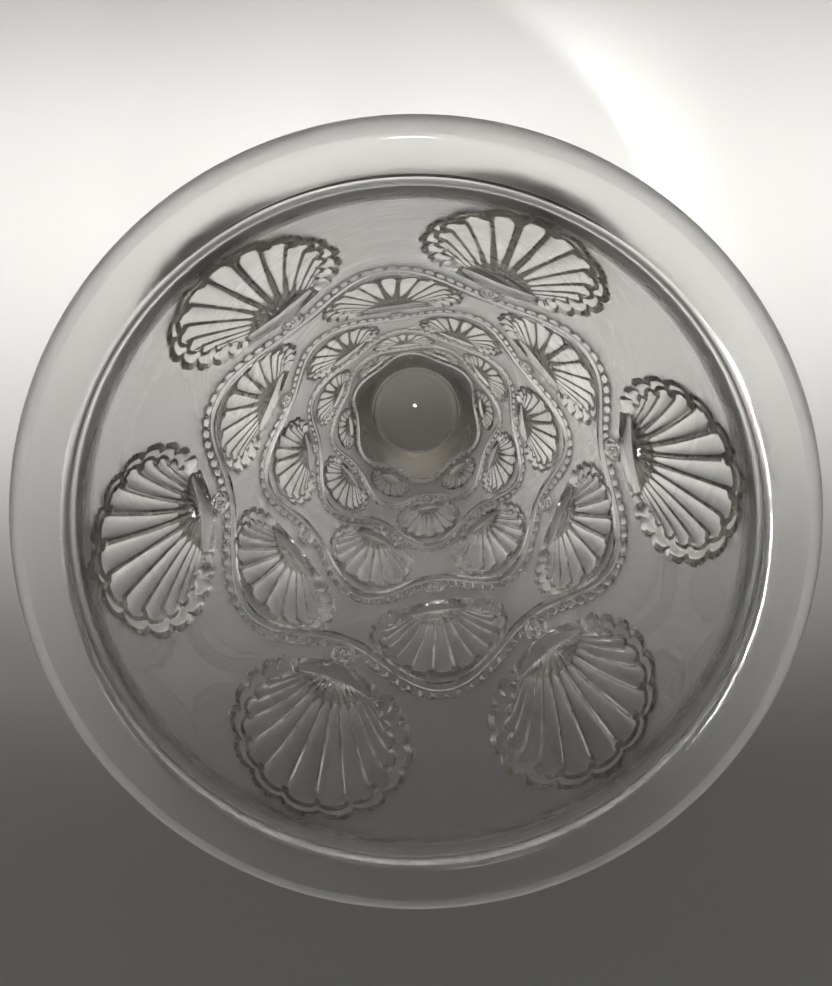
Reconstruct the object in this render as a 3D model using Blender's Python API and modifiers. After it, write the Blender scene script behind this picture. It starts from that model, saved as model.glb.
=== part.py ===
"""A pressed-glass vase: a flared cone on a plain disc foot, with a heavy rounded lip.

The outside of the cone carries five tiers of six scallop shells in relief. A wavy garland
closes each tier off from the next, with a small flower in each of its hollows.
Metres, +Z up, origin at the middle of the underside of the foot.
"""

import math

import bmesh
import bpy
from mathutils import Vector

# Driving dimensions
LIP_RADIUS = 0.130  # outer radius of the lip, at its widest ring
HEIGHT = 0.295  # foot to crest of lip
LIP_RISE = 0.013  # crest above the widest ring
WALL = 0.0088  # thickness of the cone
FOOT_RADIUS = 0.055
FOOT_HEIGHT = 0.010
GAP = 0.0003  # space between touching pieces
RELIEF_GAP = 0.0004  # space under the relief, which follows the cone in short chords

# The bore: radius against depth below the widest ring, as shares of the lip radius
BORE_MOUTH = 0.80
BORE_TAPER = 0.399
BORE_FLARE = 0.0436
BORE_END_DEPTH = 1.85  # where the straight bore turns into the rounded end
WELL_DEPTH = 1.91  # edge of the round hollow at the bottom
WELL_RADIUS = 0.15
WELL_SINK = 0.12
COVE_DEPTH = -0.035  # upper end of the bore, inside the lip
CREST_RADIUS = 0.848
LIP_JOINT_DEPTH = 0.02  # where the lip meets the cone
WAIST_DEPTH = 2.02  # end of the cone's outside, above the foot
STEP = 0.0014  # small step at the top of the bore
CORNER = 0.0022  # rounding of the lip's lower corner

# One row a tier, from the lip down, as shares of the lip radius: depth of the shell's edge,
# depth of its hinge, its width in degrees, its ribs, and the steps along each rib
TIERS = (
    (0.026, 0.556, 43.0, 10, 3),
    (0.635, 0.965, 48.0, 10, 2),
    (1.055, 1.355, 42.0, 7, 2),
    (1.395, 1.615, 41.0, 7, 2),
    (1.665, 1.815, 35.0, 6, 2),
)
SHELL_HEIGHT = (0.0088, 0.0078, 0.0058, 0.0047, 0.0035)
SHELLS_IN_TIER = 6
HINGE_SHARE = 0.54  # hinge width against shell width
BELLY_SHARE = 0.42  # how far up from its hinge the shell is widest
SCALLOP = 0.07  # depth of the notches in the shell's edge

# One row a garland: depth of its lobes, depth of its hollows, radius of the cord, all as
# shares of the lip radius, points around it
GARLANDS = (
    (0.570, 0.735, 0.0160, 60),
    (0.985, 1.130, 0.0145, 60),
    (1.330, 1.455, 0.0120, 48),
    (1.590, 1.700, 0.0105, 48),
    (1.820, 1.890, 0.0090, 48),
)
FLOWER_RADIUS = (0.039, 0.031, 0.024, 0.019, 0.014)
FLOWER_STRETCH = 1.3  # a flower's length along the cone against its width
FLOWER_HEIGHT = 0.75  # its height against its radius
PETALS = 5
FLOWER_LIFT = 0.0006  # space under a flower

TURNS = 48  # facets round the turned pieces

# Vertical place of the widest ring of the lip; depths run down from it
DATUM = HEIGHT - LIP_RISE


def clear_scene():
    for thing in list(bpy.data.objects):
        bpy.data.objects.remove(thing, do_unlink=True)


def make_collection(name):
    collection = bpy.data.collections.new(name)
    bpy.context.scene.collection.children.link(collection)
    return collection


def glass_material(name, colour, roughness):
    material = bpy.data.materials.new(name)
    material.use_nodes = True
    shader = material.node_tree.nodes["Principled BSDF"]
    shader.inputs["Base Color"].default_value = (*colour, 1.0)
    shader.inputs["Roughness"].default_value = roughness
    shader.inputs["Metallic"].default_value = 0.0
    shader.inputs["IOR"].default_value = 1.5
    shader.inputs["Transmission Weight"].default_value = 0.9
    material.diffuse_color = (*colour, 1.0)
    return material


def add_object(name, data, collection, material):
    thing = bpy.data.objects.new(name, data)
    collection.objects.link(thing)
    data.materials.append(material)
    return thing


# The shape of the cone

def bore_radius(depth):
    """Radius of the bore at a depth, both as shares of the lip radius."""
    return BORE_MOUTH - BORE_TAPER * depth + BORE_FLARE * depth ** 2


def wall_point(azimuth, depth, lift):
    """Point over the cone's outside; depth is a share of the lip radius, lift is in metres."""
    slope = 2 * BORE_FLARE * depth - BORE_TAPER
    length = math.hypot(1.0, slope)
    offset = WALL + lift
    radius = bore_radius(depth) * LIP_RADIUS + offset / length
    height = DATUM - depth * LIP_RADIUS + offset * slope / length
    return Vector((radius * math.cos(azimuth), radius * math.sin(azimuth), height))


def wall_profile_point(depth, lift):
    """Radius and height of a point over the cone's outside."""
    point = wall_point(0.0, depth, lift)
    return point.x, point.z


def steps(start, end, count):
    """Evenly spaced values from start to end, both included."""
    return [start + (end - start) * i / count for i in range(count + 1)]


# Turned pieces

def turned(name, profile, closed, collection, material):
    """A ring or disc from a profile of (radius, height) points, run down its outer side."""
    mesh = bpy.data.meshes.new(name)
    count = len(profile)
    edges = [(i, i + 1) for i in range(count - 1)]
    if closed:
        edges.append((count - 1, 0))
    mesh.from_pydata([(radius, 0.0, height) for radius, height in profile], edges, [])
    thing = add_object(name, mesh, collection, material)
    screw = thing.modifiers.new("Turn", "SCREW")
    screw.axis = "Z"
    screw.angle = math.tau
    screw.steps = TURNS
    screw.render_steps = TURNS
    screw.use_merge_vertices = True
    screw.merge_threshold = 0.00001
    screw.use_smooth_shade = True
    return thing


def arc(centre, radii, start, end, count):
    """Points of an elliptical arc, angles in degrees from +radius towards +height."""
    points = []
    for angle in steps(math.radians(start), math.radians(end), count):
        radius = centre[0] + radii[0] * math.cos(angle)
        height = centre[1] + radii[1] * math.sin(angle)
        points.append((radius, height))
    return points


def make_lip(collection, material):
    """The heavy lip: inner cove, crest, nearly flat band, rounded outer edge, underside."""
    joint = DATUM - LIP_JOINT_DEPTH * LIP_RADIUS
    cove = bore_radius(COVE_DEPTH) * LIP_RADIUS
    cove_height = DATUM - COVE_DEPTH * LIP_RADIUS
    crest = CREST_RADIUS * LIP_RADIUS
    profile = [(bore_radius(LIP_JOINT_DEPTH) * LIP_RADIUS, joint), (cove, cove_height)]
    profile += [(cove + STEP, cove_height + STEP)]
    profile += arc((crest, HEIGHT - 0.0040), (crest - cove - 1.5 * STEP, 0.0040), 180, 90, 3)
    profile += [(crest + 0.0070, HEIGHT - 0.0010)]
    profile += arc((LIP_RADIUS - 0.0080, DATUM), (0.0080, 0.0110), 60, 0, 3)
    profile += [(LIP_RADIUS - CORNER / 3, DATUM - CORNER * 2 / 3), (LIP_RADIUS - CORNER, DATUM - CORNER)]
    profile += [(wall_profile_point(LIP_JOINT_DEPTH, 0.0)[0], joint)]
    return turned("lip", profile, True, collection, material)


def make_cone(collection, material):
    """The cone with its closed end: a turned cup, flared where it meets the foot."""
    centre_height = DATUM - WELL_DEPTH * LIP_RADIUS
    well = arc((0.0, centre_height), (WELL_RADIUS * LIP_RADIUS, WELL_SINK * LIP_RADIUS), -90, 0, 4)
    well[0] = (0.0, well[0][1])
    profile = well
    for depth in steps(BORE_END_DEPTH, LIP_JOINT_DEPTH, 7):
        profile.append((bore_radius(depth) * LIP_RADIUS, DATUM - depth * LIP_RADIUS))
    top = DATUM - LIP_JOINT_DEPTH * LIP_RADIUS - GAP
    profile[-1] = (profile[-1][0], top)
    profile.append((wall_profile_point(LIP_JOINT_DEPTH, 0.0)[0], top))
    for depth in steps(LIP_JOINT_DEPTH + 0.015, WAIST_DEPTH, 7):
        profile.append(wall_profile_point(depth, 0.0))
    waist_radius, waist_height = profile[-1]
    foot_top = FOOT_HEIGHT + GAP
    drop = waist_height - foot_top
    profile += arc((waist_radius + drop, waist_height), (drop, drop), 205, 245, 3)
    profile.append((profile[-1][0] + 0.004, foot_top))
    profile.append((0.0, foot_top))
    return turned("cone", profile, False, collection, material)


def make_foot(collection, material):
    """A plain disc with a rounded edge and a flat ground underside."""
    profile = [(0.0, FOOT_HEIGHT), (FOOT_RADIUS - 0.008, FOOT_HEIGHT)]
    profile += arc((FOOT_RADIUS - 0.005, FOOT_HEIGHT - 0.005), (0.005, 0.005), 80, 0, 3)
    profile += [(FOOT_RADIUS, 0.0015), (FOOT_RADIUS - 0.0015, 0.0), (0.0, 0.0)]
    return turned("foot", profile, False, collection, material)


# Relief

def shell_point(tier, across, along):
    """Azimuth and depth on a shell: across runs -1 to 1 over its ribs, along 0 (hinge) to 1."""
    edge_depth, hinge_depth, width, ribs, _ = TIERS[tier]
    drop = hinge_depth - edge_depth
    half = math.radians(width) / 2
    belly = BELLY_SHARE
    turn = across * math.acos(-belly / (1 - belly)) * 0.94
    notch = 1 - SCALLOP * (0.5 + 0.5 * math.cos(math.tau * ribs * (across + 1) / 2))
    edge_across = half * math.sin(turn) * notch
    edge_along = belly + (1 - belly) * math.cos(turn) * notch
    hinge_across = half * HINGE_SHARE * across
    azimuth = hinge_across + (edge_across - hinge_across) * along
    depth = hinge_depth - drop * edge_along * along
    return azimuth, depth


def shell_lift(tier, across, along):
    """Height of a shell's face: a low dome with a rib down the middle of each flute."""
    ribs = TIERS[tier][3]
    height = SHELL_HEIGHT[tier]
    dome = 0.55 + 0.45 * math.sin(math.pi * min(1.0, 0.2 + 0.8 * along))
    rib = 0.16 * along * math.cos(math.tau * ribs * (across + 1) / 2)
    return height * (dome - rib)


def make_shell(tier, slot, collection, material):
    """One scallop shell, laid on the cone with its hinge towards the foot."""
    ribs, rows = TIERS[tier][3:5]
    bm = bmesh.new()
    grid = bmesh.ops.create_grid(bm, x_segments=2 * ribs, y_segments=rows, size=1.0)
    for vert in grid["verts"]:
        vert.co.z = 0.0
    raised = bmesh.ops.extrude_face_region(bm, geom=bm.faces[:], use_keep_orig=True)
    for element in raised["geom"]:
        if isinstance(element, bmesh.types.BMVert):
            element.co.z = 1.0
    # Tiers alternate: each one's shells stand between those of the tier above
    middle = math.tau * (slot + 0.5 * (tier % 2)) / SHELLS_IN_TIER
    for vert in bm.verts:
        across, along, raise_share = vert.co.x, (vert.co.y + 1) / 2, vert.co.z
        azimuth, depth = shell_point(tier, across, along)
        lift = RELIEF_GAP
        if raise_share > 0.5:
            lift = shell_lift(tier, across, along)
        vert.co = wall_point(middle + azimuth, depth, lift)
    bmesh.ops.recalc_face_normals(bm, faces=bm.faces[:])
    name = f"shell_{tier + 1}_{slot + 1}"
    mesh = bpy.data.meshes.new(name)
    bm.to_mesh(mesh)
    bm.free()
    mesh.shade_smooth()
    mesh.set_sharp_from_angle(angle=math.radians(50))
    return add_object(name, mesh, collection, material)


def hollow_azimuth(tier, slot):
    """Direction of a garland's hollows, in line with the shells of the tier above it."""
    return math.tau * (slot + 0.5 * (tier % 2)) / SHELLS_IN_TIER


def make_cord(tier):
    """Mesh of a garland's cord: a closed wavy tube round the cone, its lobes towards the lip."""
    lobe, hollow, cord, count = GARLANDS[tier]
    middle = (lobe + hollow) / 2
    swing = (hollow - lobe) / 2
    curve = bpy.data.curves.new("cord", "CURVE")
    curve.dimensions = "3D"
    curve.bevel_depth = cord * LIP_RADIUS
    curve.bevel_resolution = 1
    spline = curve.splines.new("POLY")
    spline.points.add(count - 1)
    spline.use_cyclic_u = True
    lift = cord * LIP_RADIUS + RELIEF_GAP
    for i in range(count):
        azimuth = math.tau * i / count
        wave = math.cos(SHELLS_IN_TIER * (azimuth - hollow_azimuth(tier, 0)))
        point = wall_point(azimuth, middle + swing * wave, lift)
        spline.points[i].co = (*point, 1.0)
    tube = bpy.data.objects.new("cord", curve)
    bpy.context.scene.collection.objects.link(tube)
    graph = bpy.context.evaluated_depsgraph_get()
    mesh = bpy.data.meshes.new_from_object(tube.evaluated_get(graph))
    bpy.data.objects.remove(tube)
    return mesh


def make_flowers(tier):
    """Mesh of the six small flowers in a garland's hollows, each a low dome with petals."""
    hollow = GARLANDS[tier][1]
    size = FLOWER_RADIUS[tier]
    depth = hollow - FLOWER_STRETCH * size
    bm = bmesh.new()
    for slot in range(SHELLS_IN_TIER):
        azimuth = hollow_azimuth(tier, slot)
        made = bmesh.ops.create_cone(
            bm, cap_ends=True, segments=2 * PETALS, radius1=1.0, radius2=0.45, depth=1.0)
        for vert in made["verts"]:
            turn = math.atan2(vert.co.x, vert.co.y)
            petal = 0.85 + 0.15 * math.cos(PETALS * turn)
            reach = math.hypot(vert.co.x, vert.co.y) * size * petal
            sideways = reach * math.sin(turn) / (bore_radius(depth) + WALL / LIP_RADIUS)
            up = reach * math.cos(turn) * FLOWER_STRETCH
            lift = FLOWER_LIFT + (vert.co.z + 0.5) * FLOWER_HEIGHT * size * LIP_RADIUS
            vert.co = wall_point(azimuth + sideways, depth - up, lift)
    mesh = bpy.data.meshes.new("flowers")
    bm.to_mesh(mesh)
    bm.free()
    return mesh


def make_garland(tier, collection, helpers, material):
    """A garland: its cord and its flowers, joined into one body."""
    garland = add_object(f"garland_{tier + 1}", make_cord(tier), collection, material)
    flowers = add_object(f"flowers_{tier + 1}", make_flowers(tier), helpers, material)
    flowers.hide_render = True
    flowers.display_type = "WIRE"
    union = garland.modifiers.new("Flowers", "BOOLEAN")
    union.operation = "UNION"
    union.solver = "EXACT"
    union.object = flowers
    return garland


def main():
    clear_scene()
    vase = make_collection("pressed_glass_vase")
    helpers = make_collection("joined_flowers")
    satin = (0.80, 0.80, 0.78)
    clear = (0.90, 0.90, 0.88)
    make_lip(vase, glass_material("lip_glass", clear, 0.08))
    make_cone(vase, glass_material("cone_glass", satin, 0.35))
    make_foot(vase, glass_material("foot_glass", clear, 0.08))
    relief = glass_material("relief_glass", clear, 0.05)
    for tier in range(len(TIERS)):
        for slot in range(SHELLS_IN_TIER):
            make_shell(tier, slot, vase, relief)
        make_garland(tier, vase, helpers, relief)


main()
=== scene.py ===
"""A pressed-glass vase, seen into its mouth: satin cone, clear shells and garlands, glossy lip.

The glass is one closed turned body. Each shell and garland is a closed slab of clear glass whose
back is sunk a little into the cone, parallel to its face, so that light passes from one to the
other as in a single pressing.
"""

import math

import bpy
import numpy as np
from mathutils import Matrix, Vector


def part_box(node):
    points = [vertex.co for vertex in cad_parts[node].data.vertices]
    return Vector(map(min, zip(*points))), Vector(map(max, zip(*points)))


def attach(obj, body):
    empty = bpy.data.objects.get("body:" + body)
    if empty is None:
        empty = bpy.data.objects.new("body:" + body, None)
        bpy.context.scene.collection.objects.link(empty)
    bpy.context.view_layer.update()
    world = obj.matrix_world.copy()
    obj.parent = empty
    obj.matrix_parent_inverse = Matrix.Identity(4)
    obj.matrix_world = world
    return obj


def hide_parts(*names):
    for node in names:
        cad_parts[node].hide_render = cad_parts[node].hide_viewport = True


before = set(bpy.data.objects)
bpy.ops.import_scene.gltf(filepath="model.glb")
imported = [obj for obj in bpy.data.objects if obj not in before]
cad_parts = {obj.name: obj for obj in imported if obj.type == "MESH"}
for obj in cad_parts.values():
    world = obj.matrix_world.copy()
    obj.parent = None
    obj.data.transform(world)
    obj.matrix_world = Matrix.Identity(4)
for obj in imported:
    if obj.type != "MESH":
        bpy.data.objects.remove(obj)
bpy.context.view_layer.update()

# Sizes read from the frame, metres. Shares below are shares of the lip's radius.
lip_low, lip_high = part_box("lip")
foot_low, foot_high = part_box("foot")
LIP_RADIUS = (lip_high[0] - lip_low[0]) / 2
HEIGHT = lip_high[2]
FOOT_RADIUS = (foot_high[0] - foot_low[0]) / 2
FOOT_HEIGHT = foot_high[2]

# The glass body. Depths are measured down from the lip's widest ring, in shares.
LIP_RISE = 0.013  # metres from the widest ring up to the crest
WALL = 0.0088  # metres
BORE_MOUTH = 0.80  # the bore's radius: mouth - taper * depth + flare * depth squared
BORE_TAPER = 0.399
BORE_FLARE = 0.0436
FUNNEL_DEPTH = 1.72  # where the bore begins to close to the well
WELL_DEPTH = 1.91
WELL_RADIUS = 0.15
WELL_SINK = 0.12
COVE_DEPTH = -0.035  # upper end of the bore
CREST_SHARE = 0.848  # radius of the lip's crest
LIP_JOINT_DEPTH = 0.02  # where the lip's underside meets the cone
WAIST_DEPTH = 2.02  # where the cone meets the foot
FOOT_TAPER_HEIGHT = 0.02  # metres; below this the outside belongs to the foot
DATUM = HEIGHT - LIP_RISE
BODY_COLUMNS = 320
SIDE_ROWS = 150
BORE_ROWS = 44

# Tiers: depth of the shell's edge, depth of its hinge, width in degrees, ribs
TIERS = (
    (0.026, 0.556, 43.0, 15),
    (0.635, 0.965, 48.0, 15),
    (1.055, 1.355, 42.0, 13),
    (1.395, 1.615, 41.0, 13),
    (1.665, 1.815, 35.0, 11),
)
SHELL_HEIGHT = (0.0088, 0.0078, 0.0058, 0.0047, 0.0035)  # metres
FACE_HEIGHT = 0.97  # the relief's top against that height
SHELLS_IN_TIER = 6
HINGE_SHARE = 0.50  # length of the hinge's crest against the shell's width
BELLY_SHARE = 0.42  # how far the shell's widest place lies from the hinge
WRAP = math.radians(138)  # how far the scalloped edge runs round on either side
SCALLOP = 0.080  # depth of the scallops against the shell's radius
LOBE_ROUND = 0.96  # roundness of a scallop: 1 would be a half circle
FLUTE_ROUND = 0.97  # roundness of a flute across the face
HINGE_BOW = 0.080  # how far the crest bows toward the foot, against the shell's length
HINGE_BACK = 0.065  # run of the slope behind the crest, against the shell's length
BACK_ENDS = 0.25  # the same run at the ends of the crest, against its middle
HINGE_SPREAD = 0.12  # widening of that slope
HINGE_CROWD = 0.2  # how far the ribs crowd together in the middle of the crest
FACE_SCALE = 0.80  # edge of the ribbed face, against the outline
TURN_LEAD = 0.22  # how far the ribs crowd together toward the ends of the edge
FAN_BEND = 1.2  # how the ribs bend outward from the hinge: 1 is straight
END_FADE = 0.07  # share of the shell's width over which its ends run out
COLUMNS_PER_RIB = (8, 8, 6, 6, 6)
# Heights on the ribbed face, as shares of the shell's height
FACE_CREST = 0.90  # at the hinge
FACE_FALL = 0.40  # from the hinge down into the dish
FACE_RISE = 0.16  # up again toward the edge
FACE_DIP = 0.16  # hollow in the middle
FACE_DIP_LESS = 0.5  # how much shallower that hollow is at the sides
FACE_BRIM = 0.68  # at the edge
FLUTE_START = 0.05  # ridge between two flutes, at the hinge
FLUTE_GAIN = 0.24  # how much higher the ridge is at the edge
# Places along a rib: 0 at the hinge, 1 at the edge of the face
FALL_END = 0.30
RISE_START = 0.55
DIP_END = 0.95
FLUTE_FULL = 0.08
BRIM_START = 0.92
# Garlands: depth of the lobes, depth of the hollows, half width, beads in one lobe
GARLANDS = (
    (0.570, 0.735, 0.0350, 20),
    (0.985, 1.130, 0.0300, 18),
    (1.330, 1.455, 0.0235, 16),
    (1.590, 1.700, 0.0190, 14),
    (1.820, 1.890, 0.0150, 11),
)
GARLAND_HEIGHT = 0.80  # against its half width
COLUMNS_PER_BEAD = 10
CORD_PLACE = 0.54  # middle of the cord and of the pearls, to either side, against the half width
CORD_WIDTH = 0.46  # their own half width
CORD_HEIGHT = 0.95
PEARL_HEIGHT = 0.85
PEARL_ROUND = 0.92  # roundness of a pearl along the garland: 1 would be a half circle
GROOVE_HEIGHT = 0.14  # between cord and pearls
GROOVE_SPAN = (-0.5, 0.55)
FLOWER_RADIUS = (0.040, 0.032, 0.025, 0.020, 0.015)
FLOWER_STRETCH = 1.35  # length along the cone against width
FLOWER_HEIGHT = 0.95  # against its radius
FLOWER_REACH = 0.95  # how far its middle lies inside the garland's hollow, against its radius
FLOWER_COVER = 0.98  # within this share of its radius the garland stays inside the cone
FLOWER_COLUMNS = 40
PETALS = 5
# Heights in a flower, and places and widths across it from its middle
PLATE_HEIGHT = 0.22
PETAL_HEIGHT = 0.62
PETAL_LOW = 0.25  # between two petals, against a petal
PETAL_PLACE = 0.40
PETAL_REACH = 0.16  # half its length between two petals
PETAL_GAIN = 0.12  # how much longer it is along a petal
RIM_HEIGHT = 0.42
RIM_PLACE = 0.86
RIM_WIDTH = 0.14
BUD_HEIGHT = 0.60
BUD_RADIUS = 0.2
SUNK = 0.0004  # metres that the relief's back lies inside the cone
BARE = 0.00002  # least lift of a shell's front, metres
RELIEF_CREASE = math.radians(60)  # angles sharper than this are shaded as edges
BODY_CREASE = math.radians(50)
PATH_STEPS = 121  # points on a footprint's edge
BACK_STEPS = 21  # points on its back
# The polished footprint under the relief, slightly inside its outline
FOOTPRINT_SHELL = 0.985
FOOTPRINT_HINGE = 1.1
FOOTPRINT_BACK = 0.2
FOOTPRINT_GARLAND = 0.97
FOOTPRINT_FLOWER = 0.97

# Camera: tilt of the line of sight off the vase's axis, and its distance
VIEW_TILT = math.radians(11.7)
VIEW_TURN = math.radians(-8.0)
VIEW_DISTANCE = 3.95 * LIP_RADIUS
VIEW_RISE = 0.0231  # how far the mouth's centre lies below the line of sight, per metre of distance
LENS = 58.4  # millimetres
SENSOR = 36.0  # millimetres

# Lights, in metres. A narrow spread makes a beam.
WARM_WHITE = (1.0, 0.985, 0.96)
LAMP_WHITE = (1.0, 0.98, 0.95)
COOL_WHITE = (0.97, 0.985, 1.0)
# Name, place, target, size, power in watts, colour, spread in degrees
BEAMS = (
    ("key", (0.23, 0.93, 0.95), (0.09, 0.41, 0.0), (1.00, 0.24), 0.42, WARM_WHITE, 24),
    ("near_key", (0.17, 0.83, 0.95), (0.08, 0.07, 0.0), (1.20, 0.12), 1.10, WARM_WHITE, 14),
    ("overhead", (0.06, -0.30, 1.50), (0.02, 0.02, 0.12), (0.20, 0.18), 0.205, LAMP_WHITE, 5),
)
# A ring of soft panels on the side away from the key
PANEL_TURNS = (185, 227, 270, 313, 355)
PANEL_REACH = 0.62
PANEL_HEIGHT = 1.35
PANEL_TARGET = (0.0, 0.0, 0.2)
PANEL_SIZE = (0.28, 0.28)
PANEL_POWER = 0.021
PANEL_SPREAD = 8
# The surroundings: each is a span of the direction's Y or Z, and the strength at its two ends
WORLD_COLOUR = (1.0, 0.99, 0.975, 1.0)
WORLD_ALONG_Y = ((0.1, 0.9), (0.01, 1.2))
WORLD_ALONG_Z = ((0.10, 0.70), (0.85, 0.42))
HORIZON_GLOW = ((0.0, 0.45), (0.42, 0.0))

# Floor
FLOOR_HALF = 2.5  # half its side, metres
FLOOR_DROP = 0.0003  # metres that it lies under the foot
FLOOR_COLOUR = (0.62, 0.62, 0.61, 1.0)
FLOOR_ROUGHNESS = 0.7

# Glass
GLASS_IOR = 1.5
GLASS_TINT = (0.50, 0.475, 0.42, 1.0)
GLASS_DENSITY = 30.0  # what the tint leaves out is absorbed this many times a metre
POLISHED = 0.02  # roughness of the body's bore and lip
FIRE_POLISHED = 0.03  # roughness of the relief
SATIN = 0.42  # roughness of the cone's outside
GRAIN_SCALE = 900.0  # grains in a metre
GRAIN_RANGE = (0.85, 1.15)  # the satin grain's effect on the roughness
RIPPLE_HEIGHT = 0.00003  # metres
BODY_RIPPLE = 0.03  # distance between ripples, metres
RELIEF_RIPPLE = 0.012

scene = bpy.context.scene


# Camera, light and floor

def make_camera():
    data = bpy.data.cameras.new("camera")
    data.lens = LENS
    data.sensor_width = SENSOR
    camera = bpy.data.objects.new("camera", data)
    scene.collection.objects.link(camera)
    forward = Vector((0.0, -math.sin(VIEW_TILT), -math.cos(VIEW_TILT)))
    up = Vector((0.0, math.cos(VIEW_TILT), -math.sin(VIEW_TILT)))
    place = Vector((0.0, 0.0, DATUM)) + VIEW_DISTANCE * (VIEW_RISE * up - forward)
    right = forward.cross(up)
    turn = Matrix.Rotation(VIEW_TURN, 4, "Z")
    basis = Matrix((right, up, -forward)).transposed().to_4x4()
    camera.matrix_world = turn @ Matrix.Translation(place) @ basis
    scene.camera = camera


def area_light(name, place, target, size, power, colour, spread):
    data = bpy.data.lights.new(name, "AREA")
    data.shape = "RECTANGLE"
    data.size, data.size_y = size
    data.energy = power
    data.color = colour
    data.spread = math.radians(spread)
    light = bpy.data.objects.new(name, data)
    scene.collection.objects.link(light)
    light.location = place
    light.rotation_mode = "QUATERNION"
    light.rotation_quaternion = (Vector(target) - Vector(place)).to_track_quat("-Z", "Y")


def math_node(nodes, links, operation, first, second):
    node = nodes.new("ShaderNodeMath")
    node.operation = operation
    links.new(first, node.inputs[0])
    links.new(second, node.inputs[1])
    return node.outputs["Value"]


def ramp(nodes, links, source, span, values, kind="LINEAR"):
    """A clamped map from the span to the values."""
    node = nodes.new("ShaderNodeMapRange")
    node.interpolation_type = kind
    node.inputs["From Min"].default_value, node.inputs["From Max"].default_value = span
    node.inputs["To Min"].default_value, node.inputs["To Max"].default_value = values
    links.new(source, node.inputs["Value"])
    return node.outputs["Result"]


def make_lights():
    for beam in BEAMS:
        area_light(*beam)
    for turn in PANEL_TURNS:
        angle = math.radians(turn)
        place = (PANEL_REACH * math.cos(angle), PANEL_REACH * math.sin(angle), PANEL_HEIGHT)
        area_light(f"panel_{turn}", place, PANEL_TARGET, PANEL_SIZE, PANEL_POWER, COOL_WHITE,
                   PANEL_SPREAD)


def make_world():
    """Soft surroundings, bright toward +Y and along the horizon, dim toward -Y."""
    world = bpy.data.worlds.new("studio")
    scene.world = world
    world.use_nodes = True
    nodes, links = world.node_tree.nodes, world.node_tree.links
    back = nodes["Background"]
    back.inputs["Color"].default_value = WORLD_COLOUR
    where = nodes.new("ShaderNodeTexCoord")
    split = nodes.new("ShaderNodeSeparateXYZ")
    links.new(where.outputs["Generated"], split.inputs[0])
    along = ramp(nodes, links, split.outputs["Y"], *WORLD_ALONG_Y, "SMOOTHSTEP")
    rise = ramp(nodes, links, split.outputs["Z"], *WORLD_ALONG_Z, "SMOOTHSTEP")
    glow = ramp(nodes, links, split.outputs["Z"], *HORIZON_GLOW, "SMOOTHSTEP")
    sky = math_node(nodes, links, "MULTIPLY", along, rise)
    links.new(math_node(nodes, links, "ADD", sky, glow), back.inputs["Strength"])


def make_floor():
    mesh = bpy.data.meshes.new("floor")
    half = FLOOR_HALF
    corners = [(-half, -half, 0), (half, -half, 0), (half, half, 0), (-half, half, 0)]
    mesh.from_pydata(corners, [], [(0, 1, 2, 3)])
    floor = bpy.data.objects.new("floor", mesh)
    scene.collection.objects.link(floor)
    material = bpy.data.materials.new("floor")
    material.use_nodes = True
    shader = material.node_tree.nodes["Principled BSDF"]
    shader.inputs["Base Color"].default_value = FLOOR_COLOUR
    shader.inputs["Roughness"].default_value = FLOOR_ROUGHNESS
    mesh.materials.append(material)
    floor.location.z = -FLOOR_DROP


# Materials

def glass(name, polished, satin, ripple):
    """Glass whose roughness runs from polished to satin with the mesh's satin attribute."""
    material = bpy.data.materials.new(name)
    material.use_nodes = True
    nodes, links = material.node_tree.nodes, material.node_tree.links
    shader = nodes["Principled BSDF"]
    shader.inputs["Base Color"].default_value = (1.0, 1.0, 1.0, 1.0)
    shader.inputs["IOR"].default_value = GLASS_IOR
    shader.inputs["Transmission Weight"].default_value = 1.0
    where = nodes.new("ShaderNodeTexCoord")
    # Roughness, with the fine grain of the satin
    grain = nodes.new("ShaderNodeTexNoise")
    grain.inputs["Scale"].default_value = GRAIN_SCALE
    grain.inputs["Detail"].default_value = 2.0
    links.new(where.outputs["Object"], grain.inputs["Vector"])
    mask = nodes.new("ShaderNodeAttribute")
    mask.attribute_name = "satin"
    rough = ramp(nodes, links, mask.outputs["Fac"], (0.0, 1.0), (polished, satin))
    vary = ramp(nodes, links, grain.outputs["Fac"], (0.0, 1.0), GRAIN_RANGE)
    links.new(math_node(nodes, links, "MULTIPLY", rough, vary), shader.inputs["Roughness"])
    # Slow ripples left by the mould
    swell = nodes.new("ShaderNodeTexNoise")
    swell.inputs["Scale"].default_value = 1.0 / ripple
    swell.inputs["Detail"].default_value = 1.0
    links.new(where.outputs["Object"], swell.inputs["Vector"])
    bump = nodes.new("ShaderNodeBump")
    bump.inputs["Strength"].default_value = 1.0
    bump.inputs["Distance"].default_value = RIPPLE_HEIGHT
    links.new(swell.outputs["Fac"], bump.inputs["Height"])
    links.new(bump.outputs["Normal"], shader.inputs["Normal"])
    # A faint warm grey that deepens with the thickness of the glass
    tint = nodes.new("ShaderNodeVolumeAbsorption")
    tint.inputs["Color"].default_value = GLASS_TINT
    tint.inputs["Density"].default_value = GLASS_DENSITY
    links.new(tint.outputs["Volume"], nodes["Material Output"].inputs["Volume"])
    return material


# Shape of the cone

def bore_radius(depth):
    return BORE_MOUTH - BORE_TAPER * depth + BORE_FLARE * depth ** 2


def over_wall(azimuth, depth, lift):
    """Points over the cone's outside, for arrays of azimuth, depth (shares) and lift (metres)."""
    slope = 2 * BORE_FLARE * depth - BORE_TAPER
    length = np.hypot(1.0, slope)
    radius = bore_radius(depth) * LIP_RADIUS + (WALL + lift) / length
    height = DATUM - depth * LIP_RADIUS + (WALL + lift) * slope / length
    return np.stack([radius * np.cos(azimuth), radius * np.sin(azimuth), height], axis=-1)


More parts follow.
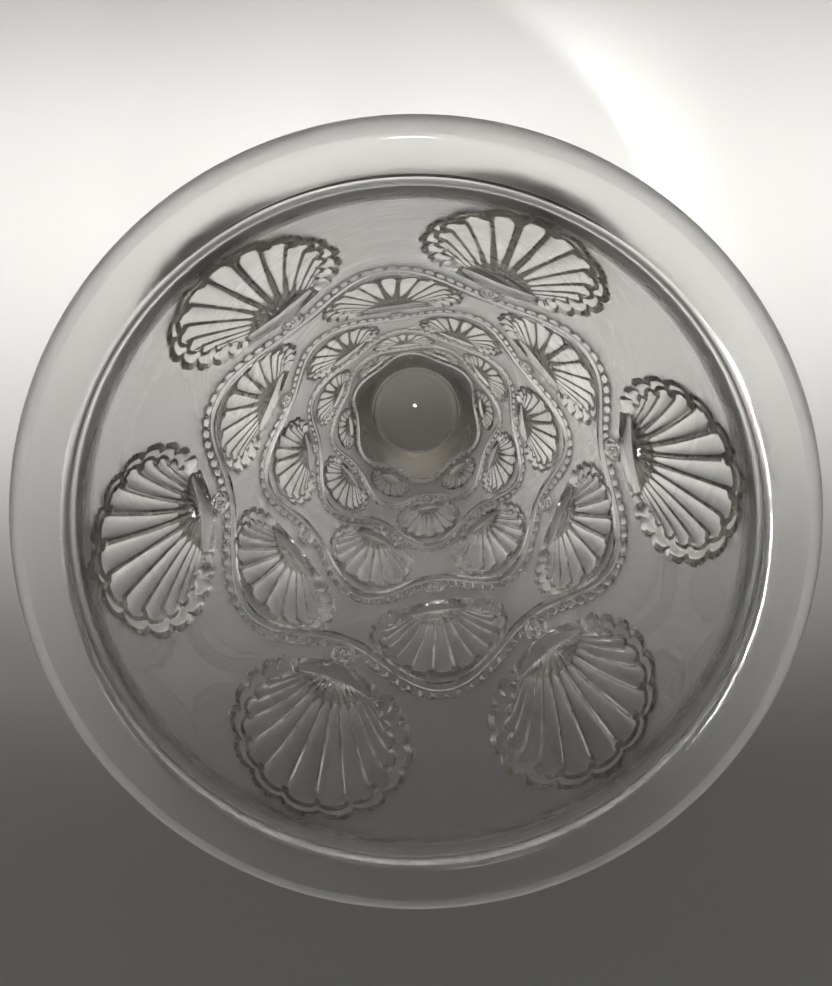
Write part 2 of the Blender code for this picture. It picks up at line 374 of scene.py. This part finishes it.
def girth(depth):
    """Radius of the cone's outside at a depth, as a share."""
    return bore_radius(depth) + WALL / LIP_RADIUS


def fold(azimuth, tier):
    """Azimuths folded into one sector, measured from the middle of the tier's shell there."""
    sector = math.tau / SHELLS_IN_TIER
    return np.mod(azimuth - tier_azimuth(tier) + sector / 2, sector) - sector / 2


def smooth(x, low, high):
    t = np.clip((x - low) / (high - low), 0, 1)
    return t * t * (3 - 2 * t)


def dome(x):
    """Half round over -1 to 1, flat zero outside."""
    return np.sqrt(np.clip(1 - x ** 2, 0, 1))


def tier_azimuth(tier, slot=0):
    return math.tau * (slot + 0.5 * (tier % 2)) / SHELLS_IN_TIER


def add_piece(name, points, faces, material, satin=None):
    mesh = bpy.data.meshes.new(name)
    mesh.from_pydata(points.tolist(), [], faces)
    mesh.materials.append(material)
    mesh.shade_smooth()
    if satin is not None:
        attribute = mesh.attributes.new("satin", "FLOAT", "POINT")
        attribute.data.foreach_set("value", satin.astype(np.float32))
    piece = bpy.data.objects.new(name, mesh)
    scene.collection.objects.link(piece)
    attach(piece, "root")
    return piece


def grid_faces(columns, rows, first, wrap, flip):
    """Quads of a grid of points laid out column by column, from point number first."""
    faces = []
    last = columns if wrap else columns - 1
    for i in range(last):
        for j in range(rows - 1):
            a = first + i * rows + j
            b = first + ((i + 1) % columns) * rows + j
            faces.append((a, a + 1, b + 1, b) if flip else (a, b, b + 1, a + 1))
    return faces


def slab(front, back, wrap):
    """Points and faces of a closed solid between two sheets of columns x rows points."""
    columns, rows = front.shape[:2]
    count = columns * rows
    points = np.concatenate([front.reshape(-1, 3), back.reshape(-1, 3)])
    faces = grid_faces(columns, rows, 0, wrap, False)
    faces += grid_faces(columns, rows, count, wrap, True)
    last = columns if wrap else columns - 1
    for i in range(last):
        a, b = i * rows, ((i + 1) % columns) * rows
        faces.append((a, a + count, b + count, b))
        c, d = a + rows - 1, b + rows - 1
        faces.append((c, d, d + count, c + count))
    if not wrap:
        for j in range(rows - 1):
            faces.append((j, j + 1, j + 1 + count, j + count))
            a = (columns - 1) * rows + j
            faces.append((a, a + count, a + 1 + count, a + 1))
    return points, faces


# Shells

# Slope behind the crest of the hinge, low end first: share of its run, share of the shell's height
BACK_ROWS = (
    (1.0, 0.0), (0.93, 0.10), (0.80, 0.34), (0.62, 0.58), (0.42, 0.76), (0.22, 0.87), (0.08, 0.905),
)
# Places along a rib, from the crest of the hinge to the edge of the face
FACE_ROWS = (
    0.0, 0.012, 0.03, 0.055, 0.085, 0.125, 0.17, 0.22, 0.275, 0.33, 0.385, 0.44, 0.495, 0.55,
    0.605, 0.66, 0.715, 0.77, 0.82, 0.865, 0.90, 0.93, 0.952, 0.97, 0.985, 1.0,
)
# Border round the face, inner end first: scale of the outline, share of the shell's height
EDGE_ROWS = (
    (0.810, 0.60), (0.824, 0.50), (0.840, 0.455), (0.865, 0.44), (0.895, 0.435), (0.918, 0.42),
    (0.938, 0.365), (0.955, 0.25), (0.975, 0.11), (1.0, 0.0),
)


def rib_phase(across, ribs):
    """Place across a rib, from -1 at one valley through 0 at its crest to 1 at the next."""
    return 2 * np.mod((across + 1) / 2 * ribs, 1.0) - 1


def shell_outline(tier, across, scale):
    """Azimuth and depth of the scalloped edge, scaled about the middle of the shell."""
    edge_depth, hinge_depth, width, ribs = TIERS[tier]
    half = math.radians(width) / 2
    turn = WRAP * across * (1 + TURN_LEAD - TURN_LEAD * across ** 2)
    place = rib_phase(across, ribs)
    lobe = 1 - SCALLOP * (1 - np.sqrt(1 - LOBE_ROUND * place ** 2))
    sideways = half * np.sin(turn) * lobe * scale
    along = BELLY_SHARE + (1 - BELLY_SHARE) * np.cos(turn) * lobe * scale
    return sideways, hinge_depth - (hinge_depth - edge_depth) * along


def face_lift(spot, across, place):
    """Share of the shell's height on its face: a shallow dish whose flutes meet in sharp ridges."""
    near = FACE_CREST - FACE_FALL * smooth(spot, 0.0, FALL_END)
    far = FACE_RISE * smooth(spot, RISE_START, 1.0)
    dip = FACE_DIP * math.sin(math.pi * min(1.0, spot / DIP_END))
    dish = near + far - dip * (1 - FACE_DIP_LESS * across ** 2)
    ridge = 1 - np.sqrt(1 - FLUTE_ROUND * place ** 2)
    depth = (FLUTE_START + FLUTE_GAIN * spot) * smooth(spot, 0.0, FLUTE_FULL)
    lift = dish + depth * ridge
    close = smooth(spot, BRIM_START, 1.0) ** 2
    return lift + (FACE_BRIM - lift) * close


def shell_sheet(tier):
    """Azimuth, depth and lift of a shell's front over a grid of ribs and stations."""
    edge_depth, hinge_depth, width, ribs = TIERS[tier]
    length = hinge_depth - edge_depth
    half = math.radians(width) / 2
    across = np.linspace(-1, 1, ribs * COLUMNS_PER_RIB[tier] + 1)
    place = rib_phase(across, ribs)
    face_side, face_depth = shell_outline(tier, across, FACE_SCALE)
    hinge_side = half * HINGE_SHARE * ((1 - HINGE_CROWD) * across + HINGE_CROWD * across ** 3)
    crest = hinge_depth + HINGE_BOW * length * (1 - across ** 2)
    back_run = HINGE_BACK * length * (BACK_ENDS + (1 - BACK_ENDS) * np.sqrt(1 - across ** 2))
    azimuths, depths, lifts = [], [], []
    for run, share in BACK_ROWS:
        azimuths.append(hinge_side * (1 + HINGE_SPREAD * run))
        depths.append(crest + run * back_run)
        lifts.append(np.full_like(across, share))
    for spot in FACE_ROWS:
        azimuths.append(hinge_side + (face_side - hinge_side) * spot ** FAN_BEND)
        depths.append(crest + (face_depth - crest) * spot)
        lifts.append(face_lift(spot, across, place))
    for scale, share in EDGE_ROWS:
        azimuth, depth = shell_outline(tier, across, scale)
        azimuths.append(azimuth)
        depths.append(depth)
        lifts.append(np.full_like(across, share))
    ends = smooth(1 - np.abs(across), 0.0, END_FADE)
    lift = np.array(lifts) * SHELL_HEIGHT[tier] * FACE_HEIGHT * ends
    return np.array(azimuths).T, np.array(depths).T, np.maximum(lift.T, BARE)


def make_shells(material):
    for tier in range(len(TIERS)):
        azimuth, depth, lift = shell_sheet(tier)
        for slot in range(SHELLS_IN_TIER):
            turned = azimuth + tier_azimuth(tier, slot)
            front = over_wall(turned, depth, lift)
            back = over_wall(turned, depth, np.full_like(lift, -SUNK))
            points, faces = slab(front, back, False)
            number = f"{tier + 1}_{slot + 1}"
            shell = add_piece(f"clear_shell_{number}", points, faces, material)
            shell.data.set_sharp_from_angle(angle=RELIEF_CREASE)
            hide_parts(f"shell_{number}")


# Garlands

# Stations across a flower, from its middle to its edge
FLOWER_ROWS = (
    0.04, 0.13, 0.22, 0.30, 0.38, 0.46, 0.54, 0.62, 0.69, 0.75, 0.81, 0.87, 0.92, 0.96, 0.985, 1.0,
)


def garland_depth(tier, azimuth):
    lobe, hollow = GARLANDS[tier][:2]
    swing = np.cos(SHELLS_IN_TIER * (azimuth - tier_azimuth(tier)))
    return (lobe + hollow) / 2 + (hollow - lobe) / 2 * swing


def garland_slope(tier, azimuth):
    """How fast the garland's depth changes with distance round the cone."""
    lobe, hollow = GARLANDS[tier][:2]
    swing = np.sin(SHELLS_IN_TIER * (azimuth - tier_azimuth(tier)))
    rate = -(hollow - lobe) / 2 * SHELLS_IN_TIER * swing
    return rate / girth(garland_depth(tier, azimuth))


def flower_place(tier):
    """Depth of the flowers' middle, just inside the garland's hollows."""
    hollow = GARLANDS[tier][1]
    return hollow - FLOWER_RADIUS[tier] * FLOWER_STRETCH * FLOWER_REACH


def flower_distance(tier, azimuth, depth):
    """Distance from the nearest flower's middle, as a share, with its stretch taken out."""
    place = flower_place(tier)
    return np.hypot(fold(azimuth, tier) * girth(place), (depth - place) / FLOWER_STRETCH)


def garland_sheet(tier):
    """Azimuth, depth and lift of a garland's front: a smooth cord on the foot's side, and pearls."""
    half, beads = GARLANDS[tier][2:]
    columns = SHELLS_IN_TIER * beads * COLUMNS_PER_BEAD
    azimuth = np.arange(columns) * math.tau / columns
    depth = garland_depth(tier, azimuth)
    slope = garland_slope(tier, azimuth)
    length = np.hypot(1.0, slope)
    along_bead = 2 * np.mod(np.arange(columns) / COLUMNS_PER_BEAD, 1.0) - 1
    # Across the garland: -1 on the foot's side, 1 on the lip's side
    stations = np.concatenate([np.linspace(-1, -0.1, 11), np.linspace(0.0, 1.0, 13)])
    azimuths, depths, lifts = [], [], []
    for station in stations:
        offset = station * half
        azimuths.append(azimuth + offset * slope / length / girth(depth))
        depths.append(depth - offset / length)
        cord = CORD_HEIGHT * dome((station + CORD_PLACE) / CORD_WIDTH)
        across = (station - CORD_PLACE) / CORD_WIDTH
        pearl = PEARL_HEIGHT * dome(np.hypot(across, math.sqrt(PEARL_ROUND) * along_bead))
        groove = GROOVE_HEIGHT if GROOVE_SPAN[0] < station < GROOVE_SPAN[1] else 0.0
        lifts.append(np.maximum(max(cord, groove), pearl))
    azimuths, depths = np.array(azimuths).T, np.array(depths).T
    lifts = np.array(lifts).T * GARLAND_HEIGHT * half * LIP_RADIUS
    lifts[:, 0] = lifts[:, -1] = 0.0
    # Under a flower the garland stays inside the cone
    covered = flower_distance(tier, azimuths, depths) < FLOWER_RADIUS[tier] * FLOWER_COVER
    lifts[covered] = -SUNK / 2
    return azimuths, depths, lifts


def flower(tier, slot):
    """A small flower in a round rim, as a closed disc on the cone."""
    size = FLOWER_RADIUS[tier]
    depth = flower_place(tier)
    columns, rows = FLOWER_COLUMNS, len(FLOWER_ROWS)
    reach, turn = np.meshgrid(FLOWER_ROWS, np.arange(columns) * math.tau / columns)
    petal = 0.5 + 0.5 * np.cos(PETALS * turn)
    leaf = dome((reach - PETAL_PLACE) / (PETAL_REACH + PETAL_GAIN * petal))
    leaf *= PETAL_LOW + (1 - PETAL_LOW) * petal
    rim = dome((reach - RIM_PLACE) / RIM_WIDTH)
    bud = dome(reach / BUD_RADIUS)
    heights = PLATE_HEIGHT + PETAL_HEIGHT * leaf + RIM_HEIGHT * rim + BUD_HEIGHT * bud
    lift = size * LIP_RADIUS * FLOWER_HEIGHT * heights
    lift[:, -1] = 0.0
    azimuth = tier_azimuth(tier, slot) + size * reach * np.sin(turn) / girth(depth)
    place = depth - size * FLOWER_STRETCH * reach * np.cos(turn)
    front = over_wall(azimuth, place, lift)
    back = over_wall(azimuth, place, np.full_like(lift, -SUNK))
    points, faces = slab(front, back, True)
    # The slab leaves a small shaft in the middle: drop its wall and close both ends
    count = columns * rows
    front_ring = {i * rows for i in range(columns)}
    shaft = front_ring | {i + count for i in front_ring}
    faces = [face for face in faces if not shaft.issuperset(face)]
    faces.append(tuple(i * rows for i in reversed(range(columns))))
    faces.append(tuple(i * rows + count for i in range(columns)))
    return points, faces


def make_garlands(material):
    for tier in range(len(GARLANDS)):
        azimuths, depths, lifts = garland_sheet(tier)
        front = over_wall(azimuths, depths, lifts)
        back = over_wall(azimuths, depths, np.full_like(lifts, -SUNK))
        points, faces = slab(front, back, True)
        for slot in range(SHELLS_IN_TIER):
            more_points, more_faces = flower(tier, slot)
            base = len(points)
            points = np.concatenate([points, more_points])
            faces += [tuple(base + k for k in face) for face in more_faces]
        garland = add_piece(f"beaded_garland_{tier + 1}", points, faces, material)
        garland.data.set_sharp_from_angle(angle=RELIEF_CREASE)
        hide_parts(f"garland_{tier + 1}")


# The glass body

def arc(centre, radii, start, end, count):
    angle = np.radians(np.linspace(start, end, count + 1))
    across = centre[0] + radii[0] * np.cos(angle)
    return np.stack([across, centre[1] + radii[1] * np.sin(angle)], axis=-1)


def bezier(p0, p1, p2, p3, count):
    t = np.linspace(0, 1, count + 1)[:, None]
    p0, p1, p2, p3 = (np.array(p) for p in (p0, p1, p2, p3))
    return (1 - t) ** 3 * p0 + 3 * (1 - t) ** 2 * t * p1 + 3 * (1 - t) * t ** 2 * p2 + t ** 3 * p3


def body_profile():
    """The turned outline, from the well's bottom over the lip to the underside, and its satin.

    Satin is 0 on polished glass and 1 on satin glass. Each stretch starts where the one before
    it ends.
    """
    well_centre = DATUM - WELL_DEPTH * LIP_RADIUS
    well_r, well_s = WELL_RADIUS * LIP_RADIUS, WELL_SINK * LIP_RADIUS
    joint = DATUM - LIP_JOINT_DEPTH * LIP_RADIUS
    outer = over_wall(np.array(0.0), np.array(LIP_JOINT_DEPTH), np.array(0.0))[0]
    # The bore
    well = arc((0.0, well_centre), (well_r, well_s), -89.0, 0, 14)
    depth = np.linspace(FUNNEL_DEPTH, COVE_DEPTH, BORE_ROWS)
    bore = np.stack([bore_radius(depth) * LIP_RADIUS, DATUM - depth * LIP_RADIUS], axis=-1)
    end_r, end_h = bore[0]
    shoulder = bezier((well_r, well_centre), (well_r + 0.0030, well_centre + 0.0070),
                      (end_r - 0.0030, end_h - 0.0105), (end_r, end_h), 12)
    # The lip
    cove_r, cove_h = bore[-1]
    crest_r = CREST_SHARE * LIP_RADIUS
    band_end = (LIP_RADIUS - 0.0066, HEIGHT - 0.0036)
    ledge = bezier((cove_r, cove_h), (cove_r + 0.0006, cove_h + 0.0009),
                   (cove_r + 0.0020, cove_h + 0.0016), (cove_r + 0.0030, cove_h + 0.0023), 6)
    crest = bezier((cove_r + 0.0030, cove_h + 0.0023), (cove_r + 0.0042, cove_h + 0.0032),
                   (crest_r - 0.0008, HEIGHT - 0.0006), (crest_r + 0.0008, HEIGHT), 12)
    band = bezier((crest_r + 0.0008, HEIGHT), (crest_r + 0.0022, HEIGHT),
                  (LIP_RADIUS - 0.010, HEIGHT - 0.0024), band_end, 10)
    edge = bezier(band_end, (LIP_RADIUS - 0.0026, HEIGHT - 0.0056),
                  (LIP_RADIUS, DATUM + 0.005), (LIP_RADIUS, DATUM + 0.001), 10)
    under = bezier((LIP_RADIUS, DATUM + 0.001), (LIP_RADIUS, DATUM - 0.0010),
                   (LIP_RADIUS - 0.001, DATUM - 0.0020), (LIP_RADIUS - 0.004, DATUM - 0.0020), 8)
    fillet = bezier((LIP_RADIUS - 0.004, DATUM - 0.0020), (outer + 0.006, DATUM - 0.0020),
                    (outer + 0.0012, joint + 0.0006), (outer, joint), 8)
    # The outside of the cone, and the foot
    low = np.linspace(LIP_JOINT_DEPTH, WAIST_DEPTH, SIDE_ROWS)
    side = over_wall(np.zeros_like(low), low, np.zeros_like(low))[:, [0, 2]]
    waist_r, waist_h = side[-1]
    rim_start = (FOOT_RADIUS - 0.006, FOOT_HEIGHT - 0.0002)
    rim_end = (FOOT_RADIUS, FOOT_HEIGHT - 0.0055)
    foot = bezier((waist_r, waist_h), (waist_r - 0.0012, waist_h - 0.0035),
                  (FOOT_RADIUS - 0.018, FOOT_HEIGHT + 0.001), rim_start, 12)
    rim = bezier(rim_start, (FOOT_RADIUS - 0.001, FOOT_HEIGHT - 0.0008),
                 (FOOT_RADIUS, FOOT_HEIGHT - 0.003), rim_end, 6)
    sole = np.array([rim_end, (FOOT_RADIUS, 0.0018), (FOOT_RADIUS - 0.0005, 0.0006),
                     (FOOT_RADIUS - 0.0018, 0.0), (0.02, 0.0), (0.0006, 0.0)])
    stretches = (
        (well, 0.0), (shoulder, 0.0), (bore, 0.0), (ledge, 0.85), (crest, 0.0), (band, 0.0),
        (edge, 1.0), (under, 1.0), (fillet, 1.0), (side, 1.0), (foot, 0.5), (rim, 0.0), (sole, 1.0),
    )
    points = np.concatenate([well[:1]] + [part[1:] for part, value in stretches])
    satin = np.concatenate([[0.0]] + [np.full(len(part) - 1, value) for part, value in stretches])
    return points, satin


def inside(polygon_x, polygon_y, x, y):
    """True for the points of arrays x, y that lie inside the polygon."""
    result = np.zeros(x.shape, bool)
    ahead_x, ahead_y = np.roll(polygon_x, -1), np.roll(polygon_y, -1)
    for x0, y0, x1, y1 in zip(polygon_x, polygon_y, ahead_x, ahead_y):
        crosses = (y0 > y) != (y1 > y)
        if y0 != y1:
            result ^= crosses & (x < (x1 - x0) * (y - y0) / (y1 - y0) + x0)
    return result


def polished_footprint(azimuth, depth):
    """True where the cone's outside lies under a shell, garland or flower."""
    clear = np.zeros(azimuth.shape, bool)
    across = np.linspace(-1, 1, PATH_STEPS)
    back = np.linspace(1, -1, BACK_STEPS)
    round_back = np.sqrt(1 - back ** 2)
    for tier, (edge_depth, hinge_depth, width, ribs) in enumerate(TIERS):
        length = hinge_depth - edge_depth
        half = math.radians(width) / 2 * HINGE_SHARE * FOOTPRINT_HINGE
        back_run = HINGE_BACK * (FOOTPRINT_BACK + (1 - BACK_ENDS) * round_back)
        bow = HINGE_BOW * (1 - back ** 2)
        side, low = shell_outline(tier, across, FOOTPRINT_SHELL)
        side = np.concatenate([side, half * back])
        low = np.concatenate([low, hinge_depth + length * (back_run + bow)])
        clear |= inside(side, low, fold(azimuth, tier), depth)
        away = np.abs(depth - garland_depth(tier, azimuth))
        away /= np.hypot(1.0, garland_slope(tier, azimuth))
        clear |= away < GARLANDS[tier][2] * FOOTPRINT_GARLAND
        clear |= flower_distance(tier, azimuth, depth) < FLOWER_RADIUS[tier] * FOOTPRINT_FLOWER
    return clear


def wall_depth(height):
    """Depth of the points of the cone's outside that lie at these heights, by repeated correction."""
    depth = (DATUM - height) / LIP_RADIUS
    for _ in range(6):
        slope = 2 * BORE_FLARE * depth - BORE_TAPER
        depth = (DATUM - height) / LIP_RADIUS + WALL / LIP_RADIUS * slope / np.hypot(1, slope)
    return depth


def make_body(material):
    profile, satin = body_profile()
    radius, height = profile[:, 0], profile[:, 1]
    columns, rows = BODY_COLUMNS, len(profile)
    azimuth = np.arange(columns) * math.tau / columns
    points = np.stack([np.outer(np.cos(azimuth), radius), np.outer(np.sin(azimuth), radius),
                       np.outer(np.ones(columns), height)], axis=-1).reshape(-1, 3)
    faces = grid_faces(columns, rows, 0, True, True)
    faces.append(tuple(i * rows for i in range(columns)))
    faces.append(tuple(i * rows + rows - 1 for i in reversed(range(columns))))
    # Only the cone's outside carries relief, and is polished under it
    depth = wall_depth(height)
    on_side = (np.arange(rows) > np.argmax(radius)) & (depth > 0.0) & (height > FOOT_TAPER_HEIGHT)
    mask = np.tile(satin, columns)
    clear = polished_footprint(np.repeat(azimuth, rows), np.tile(depth, columns))
    mask[clear & np.tile(on_side, columns)] = 0.0
    body = add_piece("glass_body", points, faces, material, mask)
    body.data.set_sharp_from_angle(angle=BODY_CREASE)
    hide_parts("cone", "lip", "foot")


make_camera()
make_lights()
make_world()
make_floor()
body_glass = glass("pressed_glass", POLISHED, SATIN, BODY_RIPPLE)
relief_glass = glass("clear_relief_glass", FIRE_POLISHED, FIRE_POLISHED, RELIEF_RIPPLE)
make_body(body_glass)
make_shells(relief_glass)
make_garlands(relief_glass)

scene.view_settings.view_transform = "Standard"
scene.cycles.use_denoising = True
scene.cycles.max_bounces = 20
scene.cycles.transmission_bounces = 16
scene.cycles.glossy_bounces = 8
